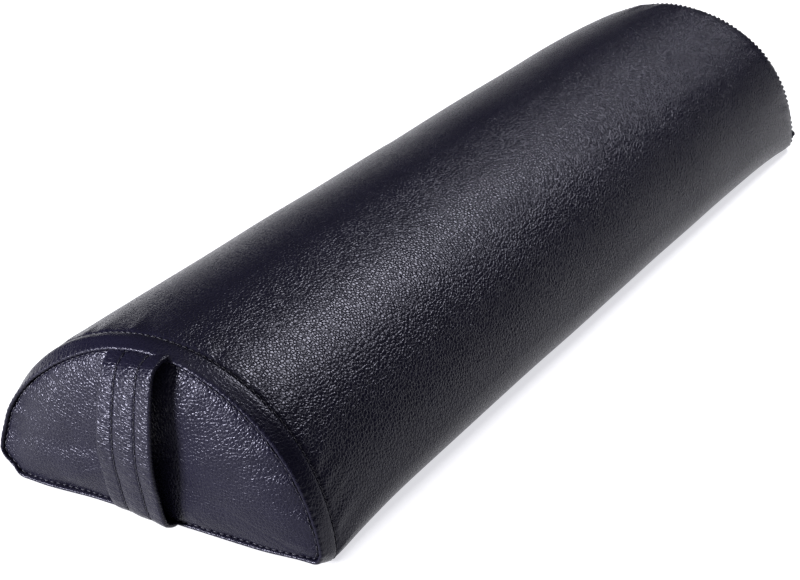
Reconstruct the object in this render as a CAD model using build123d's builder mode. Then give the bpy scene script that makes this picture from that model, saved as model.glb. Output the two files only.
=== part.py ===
from build123d import *
from math import atan2, sqrt, tan
import os

# Half-round massage bolster: a foam core in a zipped leatherette cover with one strap handle.
# Millimetres. X runs across the width, Y along the length and Z up. The origin is the centre of
# the flat underside, and the strap handle is on the front end, which faces -Y.

# The whole bolster
length = 660.0  # over the folded edges of the wrap
width = 203.0  # across the arch just over its rounded corners
height = 101.5
corner_radius = 10.0  # where the arch turns under to the flat base

# Leatherette cover
leather = 1.2  # one ply
seam_allowance = 14.0  # turned under the wrap at each end
panel_recess = 0.8  # end panel behind the folded edge of the wrap
fold_radius = 1.0  # outer edge of the wrap's fold

# Stitching
thread = 0.6
thread_proud = 0.2  # how far a stitch stands out of the leather
stitch_pitch = 4.0
stitch_gap = 0.8  # between one stitch and the next
topstitch_setback = 12.7  # from the folded edge
stitch_end_cover = 0.5  # leather left between the end of a stitch and the far face
base_clearance = 0.05  # the lowest stitch over the surface that the base rests on

# Strap handle: its side line is given out from the front end and up from the base
strap_width = 38.0
strap_thickness = 3.0  # a folded strip
strap_x = -6.5
strap_tail = 12.0  # sewn in under the wrap
strap_top_drop = 4.9  # centre line of the top end under the crown of the arch
strap_bottom_rise = 3.0  # centre line of the bottom end over the base
strap_knuckle = 13.5  # how far out the strap turns down
strap_stand_off = 19.4  # how far out the middle of the strap would be without its bow
strap_bends = [8.0, 250.0, 9.0]  # top, middle and bottom
strap_row_spacing = 15.5  # between the two rows of stitches

# Zipper in a shallow trough of the underside
zipper_x = -55.0
trough_depth = 4.0
trough_run = 8.0  # sideways run of the trough's sloping sides
trough_end_gap = 4.0  # between the trough and the turned-under seam allowance
hem_width = 9.0  # land of leather that the tape is sewn to
slot_half_width = 5.5
tape_thickness = 0.6
tape_half_gap = 1.5  # between the tape's edge and the centre of the chain
tape_width = 14.0
tape_overlap = 7.0  # past each end of the slot
zipper_row_setback = 4.0  # stitches from the edge of the slot
tooth_pitch = 2.9
tooth_thickness = 1.2
tooth_height = 2.2
tooth_reach = 4.2
tooth_overhang = 1.0  # past the centre of the chain
stop_length = 2.5
stop_clearance = 0.5

# Zipper slider and its pull tab
slider_length = 10.0
slider_width = 9.0
slider_plate = 1.0
slider_gap = 2.4  # between the two plates
slider_lip = 0.9  # width of each side lip
slider_mouth = 1.0  # between the lips, for the tape
slider_post_radius = 1.2
bail_span = 7.0
bail_bar = 1.0
bail_gap = 1.2  # between the bail and the slider
tab_length = 18.0
tab_width = 5.6
tab_thickness = 0.8
tab_bar = 0.8  # bar of the tab inside the bail
tab_eye_width = 2.6
tab_eye_length = 3.7
tab_tip_clearance = 1.5

# Values that follow from those above
half_length = length / 2
front_end = Plane.XZ.offset(half_length)
panel_face = half_length - panel_recess
foam_half_length = panel_face - leather
hem_start = half_length - seam_allowance
slot_length = 2 * (hem_start - trough_end_gap - trough_run - hem_width)
tape_bottom = trough_depth + leather
zipper_z = tape_bottom + tape_thickness / 2
slider_bottom = zipper_z - slider_gap / 2 - slider_plate
slider_y = slot_length / 2 - stop_length - stop_clearance - slider_length / 2
open_slider_y = -slot_length / 2 + tab_length + tab_tip_clearance
tab_z = slider_bottom - bail_gap / 2
teeth_start = open_slider_y - slider_length / 2 + tooth_pitch
teeth_end = slider_y - slider_length / 2 - stop_clearance


def half_round(inset):
    """Half-round outline of the bolster, moved inwards by inset all round."""
    corner_x = width / 2 - corner_radius
    corner_drop = height - corner_radius
    arch_radius = (corner_x**2 + corner_drop**2 - corner_radius**2) / (2 * (height - 2 * corner_radius))
    centre_height = height - arch_radius
    half_base = sqrt((arch_radius - inset) ** 2 - (inset - centre_height) ** 2)
    with BuildSketch() as outline:
        with BuildLine():
            ThreePointArc((-half_base, inset), (0, height - inset), (half_base, inset))
            Line((half_base, inset), (-half_base, inset))
        make_face()
        fillet(outline.vertices(), radius=corner_radius - inset)
    return outline.sketch


def zipper_trough(ply):
    """Tapered trough in the underside. With a ply it is the inner face of the same leather."""
    spread = ply * tan(atan2(trough_depth, trough_run) / 2)
    roof_width = 2 * (slot_half_width + hem_width + spread)
    roof_length = slot_length + 2 * (hem_width + spread)
    with BuildPart() as trough:
        with BuildSketch(Plane.XY.offset(ply)):
            with Locations((zipper_x, 0)):
                Rectangle(roof_width + 2 * trough_run, roof_length + 2 * trough_run)
        with BuildSketch(Plane.XY.offset(ply + trough_depth)):
            with Locations((zipper_x, 0)):
                Rectangle(roof_width, roof_length)
        loft()
    return trough.part


def seam_path(inset, out):
    """Half-round path round the bolster, at a distance out from its middle along -Y."""
    with BuildSketch(Plane.XZ.offset(out)) as outline:
        add(half_round(inset))
    return outline.sketch.face().outer_wire()


def strap_side_line():
    """Centre line of the strap seen from the side, as distances out and up."""
    top = height - strap_top_drop
    with BuildLine() as side:
        FilletPolyline(
            (-half_length, top),
            (-half_length - strap_knuckle, top),
            (-half_length - strap_stand_off, (top + strap_bottom_rise) / 2),
            (-half_length - strap_knuckle, strap_bottom_rise),
            (-half_length, strap_bottom_rise),
            radius=strap_bends,
        )
    return side.line


def strap_outer_path(x):
    """Path on the outer face of the strap, at one place across its width."""
    with BuildLine() as outer_line:
        offset(strap_side_line(), amount=strap_thickness / 2, side=Side.RIGHT, closed=False)
    return Plane.YZ.offset(x) * outer_line.wire()


def stitch_planes(path, into_leather):
    """One plane for each stitch on a path: X along the thread, Y down into the leather."""
    reach = (stitch_pitch - stitch_gap) / 2
    count = round(path.length / stitch_pitch)
    planes = []
    for number in range(count):
        place = (number + 0.5) / count
        along = path.tangent_at(place)
        inward = into_leather(along)
        origin = path.position_at(place)
        lowest = origin.Z - reach * abs(along.Z) - thread_proud * abs(inward.Z)
        lift = max(0, base_clearance - lowest)
        planes.append(Plane(origin + (0, 0, lift), x_dir=along, z_dir=along.cross(inward)))
    return planes


def stitch(plies):
    """One stitch: a dash of thread on the leather, with a leg down into its plies at each end."""
    reach = (stitch_pitch - stitch_gap) / 2
    inner = reach - thread
    depth = plies - stitch_end_cover
    with BuildPart() as staple:
        with BuildSketch():
            with BuildLine():
                Polyline(
                    (-reach, -thread_proud),
                    (reach, -thread_proud),
                    (reach, depth),
                    (inner, depth),
                    (inner, thread - thread_proud),
                    (-inner, thread - thread_proud),
                    (-inner, depth),
                    (-reach, depth),
                    close=True,
                )
            make_face()
        extrude(amount=thread / 2, both=True)
    return staple.part


def plain_end_panel():
    """Half-round panel on the front end, with its seam allowance turned back as a rim."""
    with BuildPart() as panel:
        with BuildSketch(Plane.XZ.offset(panel_face)):
            add(half_round(2 * leather))
        extrude(amount=-(panel_face - hem_start))
        with BuildSketch(Plane.XZ.offset(hem_start)):
            add(half_round(3 * leather))
        extrude(amount=panel_face - hem_start - leather, mode=Mode.SUBTRACT)
    return panel.part


def strap_tails():
    """The two ends of the strap, which lie between the wrap and the end panel's rim."""
    with BuildPart() as tails:
        with BuildSketch(front_end):
            add(half_round(2 * leather))
            add(half_round(3 * leather), mode=Mode.SUBTRACT)
            with Locations((strap_x, height / 2)):
                Rectangle(strap_width, height, mode=Mode.INTERSECT)
        extrude(amount=-strap_tail)
    return tails.part


def tooth_places(side, first_y):
    """Centres of the teeth on the tape at one side of the chain, -1 or 1."""
    x = zipper_x + side * (tooth_reach / 2 - tooth_overhang)
    count = int((teeth_end - first_y) / tooth_pitch)
    return [(x, first_y + tooth_pitch * number, zipper_z) for number in range(count)]


def tape_outline(side):
    """Woven tape at one side of the chain, -1 or 1."""
    with BuildSketch(Plane.XY.offset(tape_bottom)) as outline:
        with Locations((zipper_x + side * (tape_half_gap + tape_width / 2), 0)):
            Rectangle(tape_width, slot_length + 2 * tape_overlap)
    return outline.sketch


def hem_stitch_planes(side):
    """Places of the stitches through the hem and the tape at one side of the chain, -1 or 1."""
    x = zipper_x + side * (slot_half_width + zipper_row_setback)
    ends = [(x, end * slot_length / 2, trough_depth) for end in (-1, 1)]
    return stitch_planes(Edge.make_line(*ends), lambda along: Vector(0, 0, 1))


def strap_stitch_planes(side):
    """Places of the stitches through the strap, at one side of its centre line, -1 or 1."""
    path = strap_outer_path(strap_x + side * strap_row_spacing / 2)
    return stitch_planes(path, lambda along: along.cross(Vector(-1, 0, 0)))


# Inside of the cover, with the hump that the zipper's trough makes in it
with BuildPart() as cover_inside:
    with BuildSketch(front_end):
        add(half_round(2 * leather))
    extrude(amount=-length)
    with BuildSketch(Plane.XZ.offset(hem_start)):
        add(half_round(leather))
    extrude(amount=-2 * hem_start)
    add(zipper_trough(leather), mode=Mode.SUBTRACT)

# One panel goes round the arch and the base. Its ends are folded under and its long edges meet
# at the zipper.
with BuildPart() as wrap_panel:
    with BuildSketch(front_end):
        add(half_round(0))
    extrude(amount=-length)
    end_faces = wrap_panel.faces().filter_by(Axis.Y)
    fillet(end_faces.edges(), radius=fold_radius)
    add(cover_inside.part, mode=Mode.SUBTRACT)
    add(zipper_trough(0), mode=Mode.SUBTRACT)
    with BuildSketch(Plane.XY.offset(trough_depth)):
        with Locations((zipper_x, 0)):
            Rectangle(2 * slot_half_width, slot_length)
    extrude(amount=leather, mode=Mode.SUBTRACT)

with BuildPart() as foam_core:
    with BuildSketch(Plane.XZ.offset(foam_half_length)):
        add(half_round(3 * leather))
    extrude(amount=-2 * foam_half_length)
    with BuildSketch(Plane.XZ.offset(hem_start)):
        add(half_round(leather))
    extrude(amount=-2 * hem_start)
    add(zipper_trough(leather), mode=Mode.SUBTRACT)
    with BuildSketch(Plane.XY.offset(tape_bottom)):
        with Locations((zipper_x, 0)):
            Rectangle(2 * (tape_half_gap + tape_width), slot_length + 2 * tape_overlap)
    extrude(amount=tape_thickness, mode=Mode.SUBTRACT)
    with BuildSketch(Plane.XY.offset(tape_bottom)):
        with Locations((zipper_x, 0)):
            Rectangle(2 * slot_half_width, slot_length)
    extrude(amount=slider_gap / 2 + slider_plate + stop_clearance, mode=Mode.SUBTRACT)

with BuildPart() as front_end_panel:
    add(plain_end_panel())
    add(strap_tails(), mode=Mode.SUBTRACT)

with BuildPart() as rear_end_panel:
    mirror(plain_end_panel(), about=Plane.XZ)

# The strap comes out of the top of the front seam and goes back in at its bottom.
with BuildPart() as strap_handle:
    with BuildSketch(Plane.YZ.offset(strap_x - strap_width / 2)):
        add(strap_side_line())
        trace(line_width=strap_thickness)
    extrude(amount=strap_width)
    add(strap_tails())

with BuildPart() as strap_thread_left:
    with Locations(*strap_stitch_planes(-1)):
        add(stitch(strap_thickness), clean=False)

with BuildPart() as strap_thread_right:
    with Locations(*strap_stitch_planes(1)):
        add(stitch(strap_thickness), clean=False)

# The seam stitches lie in the crease between the wrap's fold and the end panel.
with BuildPart() as front_seam_thread:
    crease = seam_path(2 * leather + thread, panel_face)
    with Locations(*stitch_planes(crease, lambda along: Vector(0, 1, 0))):
        add(stitch(leather), clean=False)

with BuildPart() as rear_seam_thread:
    mirror(front_seam_thread.part, about=Plane.XZ)

# The topstitches go through the wrap, its turned-under edge and the end panel's rim.
with BuildPart() as front_topstitch_thread:
    round_the_end = seam_path(0, half_length - topstitch_setback)
    with Locations(*stitch_planes(round_the_end, lambda along: along.cross(Vector(0, -1, 0)))):
        add(stitch(3 * leather), clean=False)

with BuildPart() as rear_topstitch_thread:
    mirror(front_topstitch_thread.part, about=Plane.XZ)

with BuildPart() as zipper_tape_left:
    add(tape_outline(-1))
    extrude(amount=tape_thickness)

with BuildPart() as zipper_tape_right:
    add(tape_outline(1))
    extrude(amount=tape_thickness)

with BuildPart() as zipper_teeth_left:
    with Locations(*tooth_places(-1, teeth_start)):
        Box(tooth_reach, tooth_thickness, tooth_height)

with BuildPart() as zipper_teeth_right:
    with Locations(*tooth_places(1, teeth_start + tooth_pitch / 2)):
        Box(tooth_reach, tooth_thickness, tooth_height)

with BuildPart() as zipper_thread_left:
    with Locations(*hem_stitch_planes(-1)):
        add(stitch(leather + tape_thickness), clean=False)

with BuildPart() as zipper_thread_right:
    with Locations(*hem_stitch_planes(1)):
        add(stitch(leather + tape_thickness), clean=False)

# Two stops at the closed end, one on each tape, and one across both tapes at the open end
with BuildPart() as zipper_top_stops:
    stop_y = slider_y + (slider_length + stop_length) / 2 + stop_clearance
    with Locations((zipper_x, stop_y, zipper_z)):
        with GridLocations(2 * (tape_half_gap + 0.8), 1, 2, 1):
            Box(slot_half_width - tape_half_gap - 2.0, stop_length, tooth_height)

with BuildPart() as zipper_bottom_stop:
    stop_y = open_slider_y - (slider_length + stop_length) / 2 - stop_clearance
    with Locations((zipper_x, stop_y, zipper_z)):
        Box(2 * (tooth_reach - tooth_overhang), stop_length, tooth_height)

# Two plates joined by a post between the tapes, lips that hold the teeth in, and a bail below
with BuildPart() as zipper_slider_body:
    with Locations((zipper_x, slider_y, zipper_z)):
        Box(slider_width, slider_length, slider_gap + 2 * slider_plate)
        Box(slider_width - 2 * slider_lip, slider_length, slider_gap, mode=Mode.SUBTRACT)
        Box(slider_width, slider_length, slider_mouth, mode=Mode.SUBTRACT)
    fillet(zipper_slider_body.edges().filter_by(Axis.Z).group_by(Axis.Z)[0], radius=1.5)
    with Locations((zipper_x, slider_y + slider_length / 2 - 2 * slider_post_radius, zipper_z)):
        Cylinder(slider_post_radius, slider_gap)
    with Locations((zipper_x, slider_y, slider_bottom - (bail_gap + bail_bar) / 2)):
        Box(bail_bar, bail_span, bail_gap + bail_bar)
    with Locations((zipper_x, slider_y, tab_z)):
        Box(bail_bar, bail_span - 2 * bail_bar, bail_gap, mode=Mode.SUBTRACT)

# The tab's eye goes round the bail, and its bar turns between the bail and the slider.
with BuildPart() as zipper_pull_tab:
    with BuildSketch(Plane.XY.offset(tab_z - tab_thickness / 2)) as tab_outline:
        with Locations((zipper_x, slider_y - tab_length / 2 + tab_bar / 4)):
            RectangleRounded(tab_width, tab_length + tab_bar / 2, 1.2)
        with Locations((zipper_x, slider_y - (tab_bar + tab_eye_length) / 2)):
            Rectangle(tab_eye_width, tab_eye_length, mode=Mode.SUBTRACT)
    extrude(amount=tab_thickness)

pieces = {
    "foam_core": foam_core,
    "wrap_panel": wrap_panel,
    "front_end_panel": front_end_panel,
    "rear_end_panel": rear_end_panel,
    "strap_handle": strap_handle,
    "strap_thread_left": strap_thread_left,
    "strap_thread_right": strap_thread_right,
    "front_seam_thread": front_seam_thread,
    "rear_seam_thread": rear_seam_thread,
    "front_topstitch_thread": front_topstitch_thread,
    "rear_topstitch_thread": rear_topstitch_thread,
    "zipper_tape_left": zipper_tape_left,
    "zipper_tape_right": zipper_tape_right,
    "zipper_teeth_left": zipper_teeth_left,
    "zipper_teeth_right": zipper_teeth_right,
    "zipper_thread_left": zipper_thread_left,
    "zipper_thread_right": zipper_thread_right,
    "zipper_top_stops": zipper_top_stops,
    "zipper_bottom_stop": zipper_bottom_stop,
    "zipper_slider_body": zipper_slider_body,
    "zipper_pull_tab": zipper_pull_tab,
}

os.makedirs("parts", exist_ok=True)
for name, piece in pieces.items():
    piece.part.label = name
    export_step(piece.part, f"parts/{name}.step")
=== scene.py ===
import math

import bpy
import numpy as np
from mathutils import Matrix, Vector


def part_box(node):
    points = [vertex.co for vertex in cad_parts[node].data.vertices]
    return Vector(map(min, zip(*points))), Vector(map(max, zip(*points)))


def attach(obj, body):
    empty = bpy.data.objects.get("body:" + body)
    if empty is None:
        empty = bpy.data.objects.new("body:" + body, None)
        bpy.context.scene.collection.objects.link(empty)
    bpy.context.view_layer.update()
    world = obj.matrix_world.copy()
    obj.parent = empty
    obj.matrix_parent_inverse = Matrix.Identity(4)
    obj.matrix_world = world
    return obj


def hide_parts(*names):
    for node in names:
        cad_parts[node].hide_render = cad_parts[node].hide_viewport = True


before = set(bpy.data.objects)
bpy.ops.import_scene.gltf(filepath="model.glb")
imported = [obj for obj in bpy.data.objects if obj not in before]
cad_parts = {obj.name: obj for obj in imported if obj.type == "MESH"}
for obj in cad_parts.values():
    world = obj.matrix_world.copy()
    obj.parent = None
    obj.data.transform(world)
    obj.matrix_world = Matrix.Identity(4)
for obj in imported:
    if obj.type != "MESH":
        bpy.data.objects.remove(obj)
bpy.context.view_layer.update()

# Half-round massage bolster in dark leatherette. Shapes below are worked out in millimetres and
# written to Blender in metres. X runs across, Y along the length and Z up, as in the CAD model,
# and the strap handle is on the front end, at -Y.

MM = 0.001
rng = np.random.default_rng(7)

# Sizes from the frame, in millimetres
wrap_high = np.array(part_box("wrap_panel")[1]) / MM
strap_low, strap_high = (np.array(corner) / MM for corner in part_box("strap_handle"))
tape_low, tape_high = (np.array(corner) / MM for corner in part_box("zipper_tape_left"))
slider_low, slider_high = (np.array(corner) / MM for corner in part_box("zipper_slider_body"))
HALF_LENGTH = wrap_high[1]
HEIGHT = wrap_high[2]
STRAP_X = (strap_low[0] + strap_high[0]) / 2
STRAP_WIDTH = strap_high[0] - strap_low[0]
ZIPPER_X = (slider_low[0] + slider_high[0]) / 2
TAPE_BOTTOM = tape_low[2]
TAPE_END = tape_high[1]

# The cover's shape
FOOT_HALF_WIDTH = 102.6  # of the arch, where it would meet the base
LEATHER = 1.2
TOPSTITCH = 12.7  # from the folded edge of the wrap
STITCH_PITCH = 4.0
SWELL_RUN = 38  # over which the stuffed cover swells out from the topstitching
SWELL_SIDE = 3.0
SWELL_TOP = 0.6
UNEVENNESS = 0.15
REAR_RIM = 327.0  # where the topstitching of the far end lies
REAR_TURN = 0.75  # how steeply the hem turns in beyond it
REAR_REACH = 0.62  # how fast it runs on along the cover meanwhile
PANEL_INSET = 2.1  # of the end panel inside the wrap's fold
PANEL_RECESS = 1.4  # of the end panel behind the wrap's fold
PANEL_DOME = 6.8
PANEL_MIDDLE_HEIGHT = 42.0
FOAM_GAP = 3.5  # from the outside of the cover to the foam
FOAM_LOW = LEATHER + 0.4
FOAM_OVER_SLIDER = 0.5

# Places round the arch: a direction in degrees, 0 at the right foot and 180 at the left one, and
# how far it spreads to each side
RIGHT_SIDE = (42, 26)
RIGHT_HEM = (52, 28)
LEFT_SHOULDER = (128, 26)
LEFT_FOOT = (166, 30)

# The trough in the underside that the zipper lies in, and the slot in its roof
TROUGH_DEPTH = TAPE_BOTTOM - LEATHER
TROUGH_LAND = 14.5  # half width of the trough's flat roof
TROUGH_FOOT = 22.5  # half width of the trough at the base
SLOT_HALF_WIDTH = 5.5
SLOT_END = TAPE_END - 7.0
TROUGH_END = (SLOT_END + 9.0, SLOT_END + 17.0)  # where its end begins to slope and stops
TROUGH_LINES = [-TROUGH_FOOT, -18.5, -TROUGH_LAND, -12, -9.5, -7.5, -SLOT_HALF_WIDTH,
                SLOT_HALF_WIDTH, 7.5, 9.5, 12, TROUGH_LAND, 18.5, TROUGH_FOOT]

ARCH_STEPS = 420
CORNER_STEPS = 14
BASE_LEFT_STEPS = 4
BASE_RIGHT_STEPS = 44
NOISE_WAVES = 24
PI = math.pi


# ---------------------------------------------------------------- shape helpers


def smooth(x, low, high):
    """0 below low, 1 above high, and a smooth step between them."""
    t = np.clip((x - low) / (high - low), 0, 1)
    return t * t * (3 - 2 * t)


def bell(x, middle, width):
    """1 in the middle, and next to nothing two widths away from it."""
    return np.exp(-(((x - middle) / width) ** 2))


def wave_noise(size):
    """Smooth noise in two directions with features of about one size. Returns a function."""
    angle = rng.uniform(0, 2 * PI, NOISE_WAVES)
    pitch = 2 * PI / (size * rng.uniform(0.7, 1.8, NOISE_WAVES))
    phase = rng.uniform(0, 2 * PI, NOISE_WAVES)

    def noise(u, v):
        total = 0
        for a, k, p in zip(angle, pitch, phase):
            total = total + np.cos(k * (u * math.cos(a) + v * math.sin(a)) + p)
        return total / math.sqrt(NOISE_WAVES / 2)

    return noise


def catmull_rom(points, steps):
    """Smooth curve through listed points, with a number of steps from each to the next."""
    p = np.array(points, float)
    p = np.vstack([2 * p[0] - p[1], p, 2 * p[-1] - p[-2]])
    t = np.linspace(0, 1, steps, endpoint=False)[:, None]
    spans = []
    for a, b, c, d in zip(p, p[1:], p[2:], p[3:]):
        square = 2 * a - 5 * b + 4 * c - d
        cube = 3 * b - a - 3 * c + d
        spans.append(0.5 * (2 * b + (c - a) * t + square * t**2 + cube * t**3))
    return np.vstack(spans + [p[-2:-1]])


def along(points):
    """Distance along a line of points, from its first."""
    return np.concatenate([[0], np.cumsum(np.linalg.norm(np.diff(points, axis=0), axis=1))])


def point_at(points, distance):
    """Points at these distances along a line of points."""
    run = along(points)
    return np.stack([np.interp(distance, run, points[:, i]) for i in range(points.shape[1])], axis=1)


def unit(vectors):
    """Rows of vectors at a length of 1."""
    return vectors / np.linalg.norm(vectors, axis=1)[:, None]


def make_piece(name, vertices, faces, material, replaced):
    """Smooth mesh from millimetre points that rides on the cover and stands for a CAD node."""
    mesh = bpy.data.meshes.new(name)
    mesh.from_pydata((np.asarray(vertices) * MM).tolist(), [], faces)
    mesh.validate()
    mesh.polygons.foreach_set("use_smooth", [True] * len(mesh.polygons))
    mesh.materials.append(material)
    piece = bpy.data.objects.new(name, mesh)
    bpy.context.collection.objects.link(piece)
    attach(piece, "cover")
    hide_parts(replaced)
    return piece


def grid_faces(rows, columns, start=0, keep=None):
    """Quads between closed rows of points. keep(row, column) is false where the grid has a hole."""
    faces = []
    for r in range(rows - 1):
        for c in range(columns):
            if keep is None or keep(r, c):
                n = (c + 1) % columns
                faces.append((start + r * columns + c, start + r * columns + n,
                              start + (r + 1) * columns + n, start + (r + 1) * columns + c))
    return faces


def end_caps(rows, columns, start=0):
    """Faces that close the first and the last row of a grid."""
    last = start + (rows - 1) * columns
    return [tuple(range(start, start + columns))[::-1], tuple(range(last, last + columns))]


# ---------------------------------------------------------------- the cover's outline


def base_line(left, right):
    """X of the points along the flat base, with lines along the edges of the zipper's trough."""
    trough = ZIPPER_X + np.array(TROUGH_LINES)
    before = np.linspace(left, trough[0], BASE_LEFT_STEPS + 1)[:-1]
    after = np.linspace(trough[-1], right, BASE_RIGHT_STEPS + 1)[1:]
    return np.concatenate([before, trough, after])


def outline(half_width, height, left_corner, right_corner):
    """Closed half-round outline as (x, z): over the arch from the right, then back along the base."""
    radius = (half_width**2 + height**2) / (2 * height)
    centre = height - radius
    right = math.sqrt((radius - right_corner) ** 2 - (right_corner - centre) ** 2)
    left = -math.sqrt((radius - left_corner) ** 2 - (left_corner - centre) ** 2)
    start = math.atan2(right_corner - centre, right)
    end = math.atan2(left_corner - centre, left)
    a = np.linspace(start, end, ARCH_STEPS + 1)
    arch = np.stack([radius * np.cos(a), centre + radius * np.sin(a)], axis=1)
    a = np.linspace(end, 1.5 * PI, CORNER_STEPS + 1)[1:-1]
    left_arc = np.stack([left + left_corner * np.cos(a), left_corner * (1 + np.sin(a))], axis=1)
    xs = base_line(left, right)
    base = np.stack([xs, 0 * xs], axis=1)
    a = np.linspace(1.5 * PI, 2 * PI + start, CORNER_STEPS + 1)[1:-1]
    right_arc = np.stack([right + right_corner * np.cos(a), right_corner * (1 + np.sin(a))], axis=1)
    return np.vstack([arch, left_arc, base, right_arc])


def ring_normals(ring):
    """Outward unit normals of a closed outline."""
    step = np.roll(ring, -1, axis=0) - np.roll(ring, 1, axis=0)
    return unit(np.stack([step[:, 1], -step[:, 0]], axis=1))


RING = len(outline(FOOT_HALF_WIDTH, HEIGHT, 12, 12))
broad_noise = wave_noise(120)
pucker_noise = wave_noise(11)
ripple_noise = wave_noise(5.5)
soft_noise = wave_noise(30)


def stitch_phase(ring):
    """Stitches counted round an outline, a whole number of them."""
    run = along(np.vstack([ring, ring[:1]]))
    return run[:-1] / run[-1] * round(run[-1] / STITCH_PITCH)


def wrap_corners(swell, end):
    """Radii of the bottom corners, left and right. They are sharper at a seam."""
    left = 12.0 + 8.0 * swell if end < 0 else 10.0 + 9.0 * swell
    right = 8.0 + 12.0 * swell
    return left, right


def lean(ring, from_end, end, swell):
    """How far the cover stands out of the plain arch, at an end's own places round it."""
    normal = ring_normals(ring)
    turn = np.degrees(np.arctan2(normal[:, 1], normal[:, 0]))
    turn = np.where(turn < -60, turn + 360, turn)
    band = smooth(from_end, 0, 8)
    if end < 0:
        right = 1.3
        shoulder = -2.0 + 4.4 * band + 0.3 * swell
        foot = 8.0 * math.exp(-from_end / 60)
        hem = (1.3 + 1.4 * bell(turn, *RIGHT_HEM)) * (1 - smooth(from_end, 0, TOPSTITCH))
    else:
        right = 2.9 - 1.6 * swell
        shoulder = -3.0 + 0.8 * band + 4.6 * swell
        foot = 0.0
        hem = REAR_TURN * max(TOPSTITCH - from_end, 0)
    out = right * bell(turn, *RIGHT_SIDE) + shoulder * bell(turn, *LEFT_SHOULDER)
    return out + foot * bell(turn, *LEFT_FOOT) - hem


def stitch_marks(ring, from_end, end):
    """How the two rows of stitches shape the hem: scallops, a groove and the band between them."""
    pull = 0.5 + 0.5 * np.cos(2 * PI * stitch_phase(ring))
    depth = 0.65 + 0.30 * pull if end < 0 else 0.30 + 0.90 * pull
    scallop = -0.30 * pull * bell(from_end, 0, 2.2)
    groove = -depth * bell(from_end, TOPSTITCH, 1.2)
    valley = -0.4 * bell(from_end, TOPSTITCH, 5.0)
    band = 0.1 * bell(from_end, 6.5, 3.5)
    return scallop + groove + valley + band


def place_along(from_end, end):
    """Y of a ring. At the far end the hem is turned in, so the topstitching sits on the rim."""
    if end < 0:
        return from_end - HALF_LENGTH
    if from_end < TOPSTITCH:
        return REAR_RIM + REAR_REACH * (TOPSTITCH - from_end)
    shift = REAR_RIM - HALF_LENGTH + TOPSTITCH
    return HALF_LENGTH - from_end + shift * math.exp(-(from_end - TOPSTITCH) / 60)


def rear_ear(ring, from_end, end):
    """Corner of the hem that sticks out at the bottom right of the far end."""
    if end < 0:
        return 0.0
    corner = bell(ring[:, 1], 9, 4.5) * smooth(ring[:, 0], 60, 95)
    return 5.5 * corner * bell(from_end, 4, 4)


def puckers(ring, from_end, end):
    """Small folds that run back from the topstitching, and finer ones on the folded edge."""
    run = along(ring)
    back = max(from_end - TOPSTITCH, 0)
    fade = math.exp(-back / 15) * smooth(from_end, TOPSTITCH, TOPSTITCH + 4)
    body = 0.24 * fade * pucker_noise(run + 90 * (end + 1), 0.2 * back)
    hem = 0.07 * bell(from_end, 0, 9) * pucker_noise(0.7 * run, 0.7 * from_end)
    return body + hem


def seam_lift(x, from_end):
    """How far a seam lifts the bottom edge off the floor, most at the right corner."""
    lift = 2.3 * smooth(x, -90, 30) + 1.8 * smooth(x, 60, 95)
    return lift * bell(from_end, 0, 8)


def seam_bow(x, from_end, end):
    """How far the bottom of an end bows out, in its middle and at the left corner of the front."""
    bow = 2.0 * np.clip(1 - (x / 85) ** 2, 0, 1)
    if end < 0:
        bow = bow + 3.0 * smooth(-x, 40, 80)
    return bow * math.exp(-from_end / 25)


def wrap_ring(from_end, end, inset=0.0, wrinkled=True):
    """Points of the wrap at a distance from one end, -1 at the strap and 1 at the far end."""
    swell = 1 - math.exp(-max(from_end - TOPSTITCH, 0) / SWELL_RUN)
    half_width = FOOT_HALF_WIDTH + SWELL_SIDE * swell
    flat = outline(half_width, HEIGHT + SWELL_TOP * swell, *wrap_corners(swell, end))
    y = place_along(from_end, end)
    out = lean(flat, from_end, end, swell) + rear_ear(flat, from_end, end)
    out = out + UNEVENNESS * swell * broad_noise(along(flat), y)
    if wrinkled:
        out = out + stitch_marks(flat, from_end, end) + puckers(flat, from_end, end)
    above = smooth(flat[:, 1], 0.0, 4.0)
    x, z = (flat + ring_normals(flat) * (out * above - inset)[:, None]).T
    low = 1 - smooth(z, 2, 30)
    y = y + end * low * seam_bow(x, from_end, end)
    return np.stack([x, y, z + low * seam_lift(x, from_end)], axis=1)


def sink_trough(points, depth=TROUGH_DEPTH):
    """Lifts the underside into the shallow trough that the zipper lies in."""
    side = 1 - smooth(np.abs(points[:, 0] - ZIPPER_X), TROUGH_LAND, TROUGH_FOOT)
    ends = 1 - smooth(np.abs(points[:, 1]), *TROUGH_END)
    underside = points[:, 2] < 12.0
    points[:, 2] += np.where(underside, depth * side * ends, 0)
    return points


def wrap_stations():
    """(distance from the end, end, inset) of every ring, from the front fold to the rear one."""
    lip = [(4.0, 2.6), (1.6, 2.5), (0.7, 2.25), (0.2, 1.85),
           (0.0, 1.35), (0.12, 0.85), (0.45, 0.42), (1.0, 0.13)]
    hem = [1.7, 2.4, 3.2, 4.2, 5.2, 6.3, 7.4, 8.5, 9.5, 10.3, 10.9, 11.4, 11.8, 12.2, 12.5, 12.7, 12.9]
    body = [13.2, 13.6, 14.0, 14.5, 15.2, 16.0, 17.0, 18.2, 19.6, 21.2, 23.0, 25.0, 27.5, 30.0, 33.0]
    plain = hem + body + list(np.linspace(36, HALF_LENGTH, 50))
    front = [(d, -1, i) for d, i in lip] + [(d, -1, 0.0) for d in plain]
    rear = [(d, 1, i) for d, i in lip] + [(d, 1, 0.0) for d in plain[:-1]]
    return front + rear[::-1]


# ---------------------------------------------------------------- soft pieces


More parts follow.
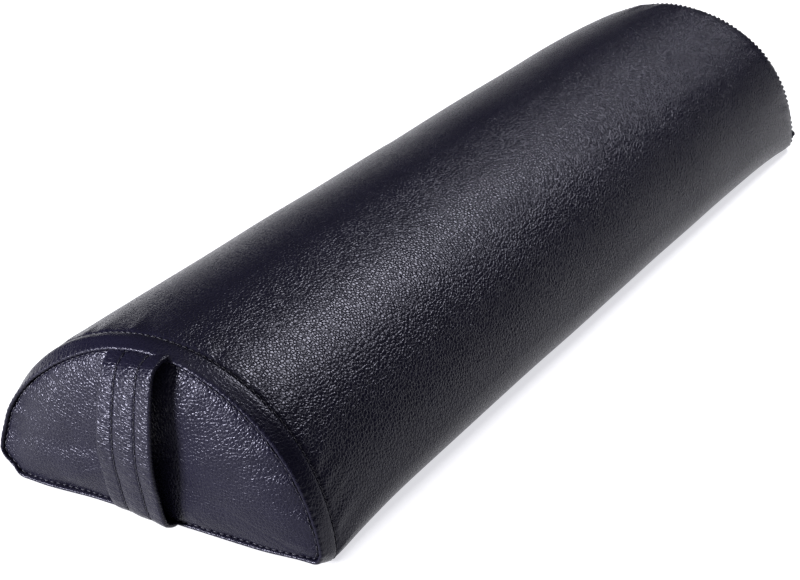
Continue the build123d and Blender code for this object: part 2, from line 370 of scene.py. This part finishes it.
def make_wrap(material):
    """The wrap panel: arch, corners and base in one piece, folded under at both ends."""
    stations = wrap_stations()
    points = np.vstack([sink_trough(wrap_ring(*s)) for s in stations])
    first_base = ARCH_STEPS + CORNER_STEPS
    slot_column = first_base + BASE_LEFT_STEPS + TROUGH_LINES.index(-SLOT_HALF_WIDTH)

    def keep(row, column):
        y = points[row * RING + column][1]
        y_next = points[(row + 1) * RING + column][1]
        return not (column == slot_column and abs(y) < SLOT_END and abs(y_next) < SLOT_END)

    wrap = make_piece("wrap_panel_leather", points, grid_faces(len(stations), RING, keep=keep),
                      material, "wrap_panel")


def panel_depth(inward, run, flat, end):
    """How far the end panel stands out of its seam, at a distance in from its edge."""
    x, z = flat[:, 0], flat[:, 1]
    from_arch = np.maximum(FOOT_HALF_WIDTH - PANEL_INSET - np.hypot(x, z + 1.1), 0)
    from_base = np.maximum(z - 4.0, 0)
    crease = -1.5 * np.exp(-inward / 1.1)
    dome = PANEL_DOME * np.tanh(from_arch / 17.0) * (1 - np.exp(-from_base / 12.0))
    pinch = 0.26 * np.exp(-inward / 9) * pucker_noise(run + 300, 0.22 * inward)
    uneven = 0.12 * soft_noise(x + 500 * end, z) * smooth(from_arch, 4, 30)
    strap_pull = 1.2 * bell(x, STRAP_X, 22) * np.exp(-from_arch / 8) if end < 0 else 0.0
    return crease + dome + pinch + uneven - strap_pull


def panel_rings(end):
    """Rings of the end panel, from inside the wrap's fold to the panel's middle."""
    edge = wrap_ring(0.0, end, PANEL_INSET, wrinkled=False)
    run = along(edge)
    flat_edge = edge[:, [0, 2]]
    middle = np.array([0.0, PANEL_MIDDLE_HEIGHT])
    reach = np.abs(np.sum((flat_edge - middle) * ring_normals(flat_edge), axis=1))
    near_edge = [0, 0.008, 0.016, 0.026, 0.038, 0.052, 0.068, 0.086, 0.106, 0.13]
    rings = []
    for share in near_edge + list(np.linspace(0.155, 0.97, 42)):
        flat = flat_edge + (middle - flat_edge) * share
        out = panel_depth(reach * share, run, flat, end) - PANEL_RECESS
        y = edge[:, 1] * (1 - share) + edge[:, 1].mean() * share + end * out
        rings.append(np.stack([flat[:, 0], y, flat[:, 1]], axis=1))
    return rings


def make_end_panel(name, end, material):
    """Half-round end panel, tucked in behind the wrap's fold and domed. Returns its rings."""
    rings = panel_rings(end)
    points = np.vstack(rings + [rings[-1].mean(axis=0)[None]])
    faces = grid_faces(len(rings), RING)
    last = (len(rings) - 1) * RING
    faces += [(last + c, last + (c + 1) % RING, len(points) - 1) for c in range(RING)]
    if end < 0:
        faces = [face[::-1] for face in faces]
    panel = make_piece(name + "_leather", points, faces, material, name)
    return rings


def make_foam(material):
    """Foam core: the block that the cover is pulled over, hollowed to clear the zipper."""
    places = (8, 14, 20, 25, 30, 34, 38, 60, 120, 200, 300)
    hollow = slider_high[2] + FOAM_OVER_SLIDER - FOAM_LOW
    rings = []
    for from_end, end in [(d, -1) for d in places] + [(d, 1) for d in places[::-1]]:
        ring = wrap_ring(from_end, end, FOAM_GAP, wrinkled=False)
        ring[:, 2] = np.maximum(ring[:, 2], FOAM_LOW)
        rings.append(sink_trough(ring, hollow))
    faces = grid_faces(len(rings), RING) + end_caps(len(rings), RING)
    foam = make_piece("foam_core_block", np.vstack(rings), faces, material, "foam_core")


# ---------------------------------------------------------------- strap


# Edges of the strap's outer face seen from the side, from the top seam to the bottom one, each
# point a distance out of the front end and a height. The left edge hangs closer to the end.
STRAP_RIGHT_EDGE = [(-4, 99.5), (1, 100.2), (6, 99.6), (10.5, 97.6), (13.6, 93), (15.6, 85),
                    (17.2, 75), (18.3, 65), (19.1, 54), (19.1, 44), (18, 34.5), (15.9, 25),
                    (13.6, 14), (10.5, 6), (4, 1.9), (-3, 1.7)]
STRAP_LEFT_EDGE = [(-4, 95), (-1, 94.4), (2.6, 92), (6.2, 88.6), (8.6, 83.4), (10.8, 76.6),
                   (12.8, 69), (14.3, 61.5), (15.5, 53), (15.7, 44.5), (14.8, 36), (12.9, 27),
                   (10.4, 15.5), (7.2, 7), (2, 2.2), (-3, 1.8)]
STRAP_THICKNESS = 2.9
STRAP_ROW = 7.75  # stitch rows either side of the strap's middle
STRAP_GROOVE = 0.75  # depth of the groove that a row of stitches lies in
STRAP_RIPPLE = 0.05
STRAP_STEPS = 12


def strap_edges():
    """The strap's left and right edges as lines of (y, z)."""
    lines = [catmull_rom(edge, STRAP_STEPS) for edge in (STRAP_LEFT_EDGE, STRAP_RIGHT_EDGE)]
    return [np.stack([-HALF_LENGTH - line[:, 0], line[:, 1]], axis=1) for line in lines]


def strap_section():
    """Closed section of the folded strip: (across, depth under the outer face)."""
    half = STRAP_WIDTH / 2
    edge = STRAP_THICKNESS / 2
    x = np.linspace(-half + edge, half - edge, 76)
    groove = STRAP_GROOVE * (bell(x, STRAP_ROW, 0.8) + bell(x, -STRAP_ROW, 0.8))
    pillow = 0.35 * np.cos(x / STRAP_ROW * PI / 2) ** 2
    outer = np.stack([x, groove + 0.3 - pillow], axis=1)
    a = np.linspace(-PI / 2, PI / 2, 10)[1:-1]
    right = np.stack([half - edge + edge * np.cos(a), edge + edge * np.sin(a) + 0.15], axis=1)
    back = np.linspace(half - edge, -half + edge, 20)
    inner = np.stack([back, 0 * back + STRAP_THICKNESS], axis=1)
    left = np.stack([-right[::-1, 0], right[::-1, 1]], axis=1)
    return np.vstack([outer, right, inner, left])


def strap_row(left, right, across, depth):
    """Points of one cross-section of the strap; across is from its middle, depth under its face."""
    share = (across + STRAP_WIDTH / 2) / STRAP_WIDTH
    face = left["point"] + (right["point"] - left["point"]) * share[:, None]
    normal = left["normal"] + (right["normal"] - left["normal"]) * share[:, None]
    place = face - normal * depth[:, None]
    return np.stack([across + STRAP_X, place[:, 0], place[:, 1]], axis=1)


def with_normals(line):
    """Points of a line of (y, z) with the normals on its outer side."""
    tangent = unit(np.gradient(line, axis=0))
    return [{"point": p, "normal": np.array([t[1], -t[0]])} for p, t in zip(line, tangent)]


def make_strap(material):
    """Strap handle: a folded strip from the top of the seam to its bottom. Returns its edges."""
    left, right = (with_normals(line) for line in strap_edges())
    section = strap_section()
    rows = []
    for number, (a, b) in enumerate(zip(left, right)):
        row = strap_row(a, b, section[:, 0], section[:, 1])
        row[:, 1] += STRAP_RIPPLE * ripple_noise(0.25 * row[:, 0], 1.5 * number)
        rows.append(row)
    faces = grid_faces(len(rows), len(section)) + end_caps(len(rows), len(section))
    faces = [face[::-1] for face in faces]
    make_piece("strap_handle_leather", np.vstack(rows), faces, material, "strap_handle")
    return left, right


def strap_stitch_path(left, right, side):
    """Path of one row of stitches in the strap's groove, and its outward direction."""
    across, depth = np.array([side * STRAP_ROW]), np.array([STRAP_GROOVE])
    path = np.vstack([strap_row(a, b, across, depth) for a, b in zip(left, right)])
    out = [[0, *(a["normal"] + b["normal"]) / 2] for a, b in zip(left, right)]
    return path, np.array(out)


# ---------------------------------------------------------------- thread


THREAD_RADIUS = 0.34
THREAD_SIDES = 6
THREAD_TAPER = np.array([0.45, 0.85, 1, 1, 1, 0.85, 0.45])  # along one stitch
STITCH_SHARE = 0.84  # of the pitch that a stitch covers


def stitch_points(centre, out):
    """Points round one stitch, from its centre line and the outward directions along it."""
    tangent = unit(np.gradient(centre, axis=0))
    side = unit(np.cross(tangent, out))
    up = np.cross(side, tangent)
    a = 2 * PI * np.arange(THREAD_SIDES) / THREAD_SIDES
    spokes = np.cos(a)[None, :, None] * side[:, None] + np.sin(a)[None, :, None] * up[:, None]
    radius = THREAD_RADIUS * THREAD_TAPER
    return (centre[:, None] + radius[:, None, None] * spokes).reshape(-1, 3)


def stitches(name, path, outward, material, replaced, sink, rise):
    """Dashes of thread along a path that dip into the leather at both ends of each stitch."""
    run = along(path)
    count = round(run[-1] / STITCH_PITCH)
    pitch = run[-1] / count
    steps = np.linspace(-0.5, 0.5, len(THREAD_TAPER))
    lift = rise * (1 - (2 * np.abs(steps)) ** 3) - sink * (2 * np.abs(steps)) ** 4
    vertices, faces = [], []
    for number in range(count):
        at = np.clip((number + 0.5) * pitch + steps * STITCH_SHARE * pitch, 0, run[-1])
        out = unit(np.stack([np.interp(at, run, outward[:, i]) for i in range(3)], axis=1))
        faces += grid_faces(len(steps), THREAD_SIDES, start=len(vertices))
        faces += end_caps(len(steps), THREAD_SIDES, start=len(vertices))
        vertices += list(stitch_points(point_at(path, at) + out * lift[:, None], out))
    make_piece(name, vertices, faces, material, replaced)


def round_normals(ring):
    """Outward normals of a ring of the wrap, in three dimensions and closed like its path."""
    flat = ring_normals(ring[:, [0, 2]])
    out = np.stack([flat[:, 0], 0 * flat[:, 0], flat[:, 1]], axis=1)
    return np.vstack([out, out[:1]])


def make_end_threads(name, end, crease, material):
    """The seam stitches in the crease and the topstitches on the wrap, at one end."""
    ring = wrap_ring(TOPSTITCH, end)
    ring[:, 2] = np.maximum(ring[:, 2], THREAD_RADIUS + 0.01)
    closed = np.vstack([ring, ring[:1]])
    stitches(name + "_topstitch", closed, round_normals(ring), material, name + "_topstitch_thread",
             sink=0.1, rise=0.28)
    closed = np.vstack([crease, crease[:1]])
    out = np.tile([0.0, float(end), 0.0], (len(closed), 1))
    stitches(name + "_seam", closed, out, material, name + "_seam_thread", sink=0.4, rise=0.25)


# ---------------------------------------------------------------- materials


# The leatherette's grain, in metres and in cells to the metre
GRAIN_SCALE = 520.0
GRAIN_DEPTH = 0.00026
GRAIN_BEND = (0.0009, 0.0009, 0.0009)
FINE_SCALE = 1700.0
FINE_DEPTH = 0.00003
FLAT_TOP = 0.36  # height of a pebble's top in the grain's own units
PEBBLE_ROUNDING = 0.45
CREASE_ROUGHNESS = 0.36
TOP_ROUGHNESS = 0.23
HEM_GRAIN = 0.6  # share of the grain's height that is left on a stretched hem


def new_material(name):
    """Empty node material. Returns it with its node tree and its Principled shader."""
    material = bpy.data.materials.new(name)
    material.use_nodes = True
    tree = material.node_tree
    tree.nodes.clear()
    output = tree.nodes.new("ShaderNodeOutputMaterial")
    shader = tree.nodes.new("ShaderNodeBsdfPrincipled")
    tree.links.new(shader.outputs["BSDF"], output.inputs["Surface"])
    return material, tree, shader


def math_node(tree, operation, first, second):
    """Math node on two sockets or numbers. Returns its output."""
    node = tree.nodes.new("ShaderNodeMath")
    node.operation = operation
    for socket, value in zip(node.inputs, (first, second)):
        if isinstance(value, (int, float)):
            socket.default_value = value
        else:
            tree.links.new(value, socket)
    return node.outputs[0]


def texture(tree, kind, coordinate, **values):
    """Texture node with its inputs set by name."""
    node = tree.nodes.new(kind)
    tree.links.new(coordinate, node.inputs["Vector"])
    for key, value in values.items():
        node.inputs[key].default_value = value
    return node


def ramp(tree, value, low, high, from_value, to_value):
    """Value remapped from low..high to from_value..to_value."""
    node = tree.nodes.new("ShaderNodeMapRange")
    tree.links.new(value, node.inputs["Value"])
    node.inputs["From Min"].default_value = low
    node.inputs["From Max"].default_value = high
    node.inputs["To Min"].default_value = from_value
    node.inputs["To Max"].default_value = to_value
    return node.outputs["Result"]


def colour_mix(tree, factor, first, second):
    """Two colours mixed by a factor socket."""
    node = tree.nodes.new("ShaderNodeMix")
    node.data_type = "RGBA"
    tree.links.new(factor, node.inputs["Factor"])
    node.inputs["A"].default_value = (*first, 1)
    node.inputs["B"].default_value = (*second, 1)
    return node.outputs["Result"]


def bump(tree, height, strength, distance, below=None):
    """Bump node; below is the normal of a coarser bump that this one lies on."""
    node = tree.nodes.new("ShaderNodeBump")
    node.inputs["Strength"].default_value = strength
    node.inputs["Distance"].default_value = distance
    tree.links.new(height, node.inputs["Height"])
    if below is not None:
        tree.links.new(below, node.inputs["Normal"])
    return node.outputs["Normal"]


def vector_node(tree, operation, *values):
    """Vector math node on sockets or constants. Returns its output."""
    node = tree.nodes.new("ShaderNodeVectorMath")
    node.operation = operation
    for socket, value in zip(node.inputs, values):
        if isinstance(value, tuple):
            socket.default_value = value
        else:
            tree.links.new(value, socket)
    return node.outputs[0]


def pebbles(tree, place, scale, stretch):
    """Cells of the grain: their flat tops between the creases, and their height."""
    bend = texture(tree, "ShaderNodeTexNoise", place, Scale=400.0, Detail=2.0)
    bent = vector_node(tree, "MULTIPLY_ADD", bend.outputs["Color"], GRAIN_BEND, place)
    spot = vector_node(tree, "MULTIPLY", bent, stretch)
    domes = texture(tree, "ShaderNodeTexVoronoi", spot, Scale=scale)
    creases = tree.nodes.new("ShaderNodeTexVoronoi")
    creases.feature = "DISTANCE_TO_EDGE"
    creases.inputs["Scale"].default_value = scale
    tree.links.new(spot, creases.inputs["Vector"])
    flats = ramp(tree, creases.outputs["Distance"], 0.0, 0.20, 0.0, FLAT_TOP)
    rounding = math_node(tree, "MULTIPLY", domes.outputs["Distance"], PEBBLE_ROUNDING)
    return flats, math_node(tree, "SUBTRACT", flats, rounding)


def hem_tightness(tree, place, hem_start):
    """1 on the body of the cover, less on the stretched hems beyond hem_start."""
    apart = tree.nodes.new("ShaderNodeSeparateXYZ")
    tree.links.new(place, apart.inputs[0])
    from_middle = math_node(tree, "ABSOLUTE", apart.outputs["Y"], 0.0)
    return ramp(tree, from_middle, hem_start - MM, hem_start + MM, 1.0, HEM_GRAIN)


def leatherette(name, depth, grain=1.0, stretch=(1.0, 1.0, 1.0), hem_start=1.0):
    """Dark polyurethane leatherette with a pebbled grain, pulled smoother beyond hem_start."""
    material, tree, shader = new_material(name)
    place = tree.nodes.new("ShaderNodeTexCoord").outputs["Object"]
    flats, height = pebbles(tree, place, GRAIN_SCALE * grain, stretch)
    height = math_node(tree, "MULTIPLY", height, hem_tightness(tree, place, hem_start))
    fine = texture(tree, "ShaderNodeTexNoise", place, Scale=FINE_SCALE * grain, Detail=3.0)
    coarse_normal = bump(tree, height, 1.0, GRAIN_DEPTH * depth)
    normal = bump(tree, fine.outputs["Fac"], 0.3, FINE_DEPTH * depth, below=coarse_normal)
    tree.links.new(normal, shader.inputs["Normal"])
    patches = texture(tree, "ShaderNodeTexNoise", place, Scale=60.0, Detail=3.0)
    tint = ramp(tree, patches.outputs["Fac"], 0.3, 0.7, 0.0, 1.0)
    colour = colour_mix(tree, tint, (0.0044, 0.0040, 0.0092), (0.0056, 0.0051, 0.0114))
    tree.links.new(colour, shader.inputs["Base Color"])
    rough = ramp(tree, flats, 0.0, FLAT_TOP, CREASE_ROUGHNESS, TOP_ROUGHNESS)
    tree.links.new(rough, shader.inputs["Roughness"])
    shader.inputs["IOR"].default_value = 1.26
    shader.inputs["Specular Tint"].default_value = (0.88, 0.87, 1.0, 1)
    return material


def thread_material():
    """Black bonded polyester thread with its twist."""
    material, tree, shader = new_material("thread")
    place = tree.nodes.new("ShaderNodeTexCoord").outputs["Object"]
    twist = texture(tree, "ShaderNodeTexNoise", place, Scale=2600.0, Detail=1.0)
    tree.links.new(bump(tree, twist.outputs["Fac"], 0.5, 0.0001), shader.inputs["Normal"])
    colour = colour_mix(tree, twist.outputs["Fac"], (0.006, 0.006, 0.010), (0.018, 0.017, 0.026))
    tree.links.new(colour, shader.inputs["Base Color"])
    shader.inputs["Roughness"].default_value = 0.45
    shader.inputs["Specular IOR Level"].default_value = 0.25
    return material


def tape_material():
    """Black woven zipper tape."""
    material, tree, shader = new_material("zipper_tape")
    place = tree.nodes.new("ShaderNodeTexCoord").outputs["Object"]
    weave = tree.nodes.new("ShaderNodeTexWave")
    weave.inputs["Scale"].default_value = 320.0
    weave.bands_direction = "Y"
    tree.links.new(place, weave.inputs["Vector"])
    across = tree.nodes.new("ShaderNodeTexWave")
    across.inputs["Scale"].default_value = 320.0
    tree.links.new(place, across.inputs["Vector"])
    height = math_node(tree, "MULTIPLY", weave.outputs["Fac"], across.outputs["Fac"])
    tree.links.new(bump(tree, height, 0.6, 0.0003), shader.inputs["Normal"])
    colour = colour_mix(tree, height, (0.008, 0.008, 0.010), (0.022, 0.022, 0.026))
    tree.links.new(colour, shader.inputs["Base Color"])
    shader.inputs["Roughness"].default_value = 0.85
    return material


def plastic_material():
    """Black moulded zipper teeth."""
    material, tree, shader = new_material("zipper_teeth")
    place = tree.nodes.new("ShaderNodeTexCoord").outputs["Object"]
    marks = texture(tree, "ShaderNodeTexNoise", place, Scale=900.0, Detail=2.0)
    tree.links.new(bump(tree, marks.outputs["Fac"], 0.15, 0.0001), shader.inputs["Normal"])
    colour = colour_mix(tree, marks.outputs["Fac"], (0.012, 0.012, 0.013), (0.022, 0.022, 0.024))
    tree.links.new(colour, shader.inputs["Base Color"])
    shader.inputs["Roughness"].default_value = 0.35
    return material


def lacquer_material():
    """Black lacquered zinc, worn through in a few small spots."""
    material, tree, shader = new_material("zipper_metal")
    place = tree.nodes.new("ShaderNodeTexCoord").outputs["Object"]
    wear = texture(tree, "ShaderNodeTexNoise", place, Scale=700.0, Detail=4.0)
    worn = ramp(tree, wear.outputs["Fac"], 0.62, 0.72, 0.0, 1.0)
    colour = colour_mix(tree, worn, (0.014, 0.014, 0.016), (0.10, 0.10, 0.105))
    tree.links.new(colour, shader.inputs["Base Color"])
    tree.links.new(bump(tree, wear.outputs["Fac"], 0.1, 0.0001), shader.inputs["Normal"])
    shader.inputs["Metallic"].default_value = 0.6
    shader.inputs["Roughness"].default_value = 0.28
    return material


def foam_material():
    """Pale open-cell foam."""
    material, tree, shader = new_material("foam")
    place = tree.nodes.new("ShaderNodeTexCoord").outputs["Object"]
    cells = texture(tree, "ShaderNodeTexVoronoi", place, Scale=1100.0)
    tree.links.new(bump(tree, cells.outputs["Distance"], 0.8, 0.0005), shader.inputs["Normal"])
    colour = colour_mix(tree, cells.outputs["Distance"], (0.55, 0.53, 0.45), (0.85, 0.83, 0.75))
    tree.links.new(colour, shader.inputs["Base Color"])
    shader.inputs["Roughness"].default_value = 0.95
    return material


def floor_material():
    """Plain white floor, lit from inside like a light table, so shadows on it stay soft."""
    material, _, shader = new_material("floor")
    shader.inputs["Base Color"].default_value = (0.50, 0.50, 0.46, 1)
    shader.inputs["Roughness"].default_value = 0.9
    shader.inputs["Specular IOR Level"].default_value = 0.0
    shader.inputs["Emission Color"].default_value = (0.95, 0.95, 1.0, 1)
    shader.inputs["Emission Strength"].default_value = 0.72
    return material


def dress_cad_nodes(materials):
    """Gives the zipper's CAD nodes their node materials."""
    chosen = {
        "zipper_tape_left": "tape", "zipper_tape_right": "tape",
        "zipper_teeth_left": "plastic", "zipper_teeth_right": "plastic",
        "zipper_top_stops": "plastic", "zipper_bottom_stop": "plastic",
        "zipper_thread_left": "thread", "zipper_thread_right": "thread",
        "zipper_slider_body": "lacquer", "zipper_pull_tab": "lacquer",
    }
    for node, key in chosen.items():
        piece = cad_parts[node]
        piece.data.materials.clear()
        piece.data.materials.append(materials[key])


# ---------------------------------------------------------------- studio


def make_floor():
    """Large white floor, just under the object."""
    bpy.ops.mesh.primitive_plane_add(size=12, location=(0, 0, -0.2 * MM))
    floor = bpy.context.object
    floor.name = "floor"
    floor.data.materials.append(floor_material())


LAMP_COLOUR = (0.90, 0.90, 1.0)


def softbox(name, place, aim, size, power, spread=180):
    """Rectangular softbox at a place, pointing at another, with a grid that narrows its spread."""
    light = bpy.data.lights.new(name, "AREA")
    light.shape = "RECTANGLE"
    light.size, light.size_y = size
    light.energy = power
    light.color = LAMP_COLOUR
    light.spread = math.radians(spread)
    lamp = bpy.data.objects.new(name, light)
    bpy.context.collection.objects.link(lamp)
    lamp.location = place
    lamp.rotation_euler = (Vector(place) - Vector(aim)).to_track_quat("Z", "Y").to_euler()


def light_studio():
    """A wide light overhead, a softbox behind for the arch and one at the front left for the end."""
    softbox("overhead", (0.0, -0.1, 2.6), (0, 0, 0), (2.2, 2.2), 16)
    softbox("behind", (0.30, 1.30, 1.62), (0, -0.2, 0.1), (0.80, 0.60), 44)
    softbox("front_left", (-1.20, -2.00, 0.52), (0, -0.33, 0.06), (0.65, 0.50), 40, spread=90)
    world = bpy.data.worlds.new("studio")
    world.use_nodes = True
    background = world.node_tree.nodes["Background"]
    background.inputs["Color"].default_value = (0.95, 0.96, 1.0, 1)
    background.inputs["Strength"].default_value = 0.04
    bpy.context.scene.world = world


def make_camera():
    """Camera at the photograph's angle, with its slight roll."""
    azimuth, elevation, roll = (math.radians(a) for a in (31.32, 25.72, -0.97))
    target, distance = Vector((0.0205, -0.120, 0.050)), 1.1014
    ahead = math.cos(elevation)
    back = Vector((math.sin(azimuth) * ahead, -math.cos(azimuth) * ahead, math.sin(elevation)))
    level = Vector((math.cos(azimuth), math.sin(azimuth), 0))
    upright = back.cross(level)
    right = math.cos(roll) * level + math.sin(roll) * upright
    up = math.cos(roll) * upright - math.sin(roll) * level
    data = bpy.data.cameras.new("camera")
    data.lens = 83.9
    data.sensor_width = 36.0
    data.clip_end = 50
    camera = bpy.data.objects.new("camera", data)
    bpy.context.collection.objects.link(camera)
    turn = Matrix((right, up, back)).transposed().to_4x4()
    camera.matrix_world = Matrix.Translation(target + back * distance) @ turn
    bpy.context.scene.camera = camera


# ---------------------------------------------------------------- the scene


SEAM_RING = 2  # ring of an end panel that its seam stitches follow

make_camera()
bpy.context.scene.view_settings.view_transform = "Standard"
cover_leather = leatherette("leatherette", depth=1.2, hem_start=(HALF_LENGTH - TOPSTITCH) * MM)
panel_leather = leatherette("leatherette_panel", depth=1.1, grain=1.05)
strap_leather = leatherette("leatherette_strap", depth=1.25, stretch=(0.55, 1.0, 1.25))
thread = thread_material()

make_wrap(cover_leather)
front_rings = make_end_panel("front_end_panel", -1, panel_leather)
rear_rings = make_end_panel("rear_end_panel", 1, panel_leather)
make_foam(foam_material())
strap_left, strap_right = make_strap(strap_leather)
for side_name, side in (("left", -1), ("right", 1)):
    strap_path, strap_out = strap_stitch_path(strap_left, strap_right, side)
    stitches(f"strap_stitches_{side_name}", strap_path, strap_out, thread, f"strap_thread_{side_name}",
             sink=0.1, rise=0.2)
make_end_threads("front", -1, front_rings[SEAM_RING], thread)
make_end_threads("rear", 1, rear_rings[SEAM_RING], thread)
dress_cad_nodes({"tape": tape_material(), "plastic": plastic_material(), "thread": thread,
                 "lacquer": lacquer_material()})
make_floor()
light_studio()
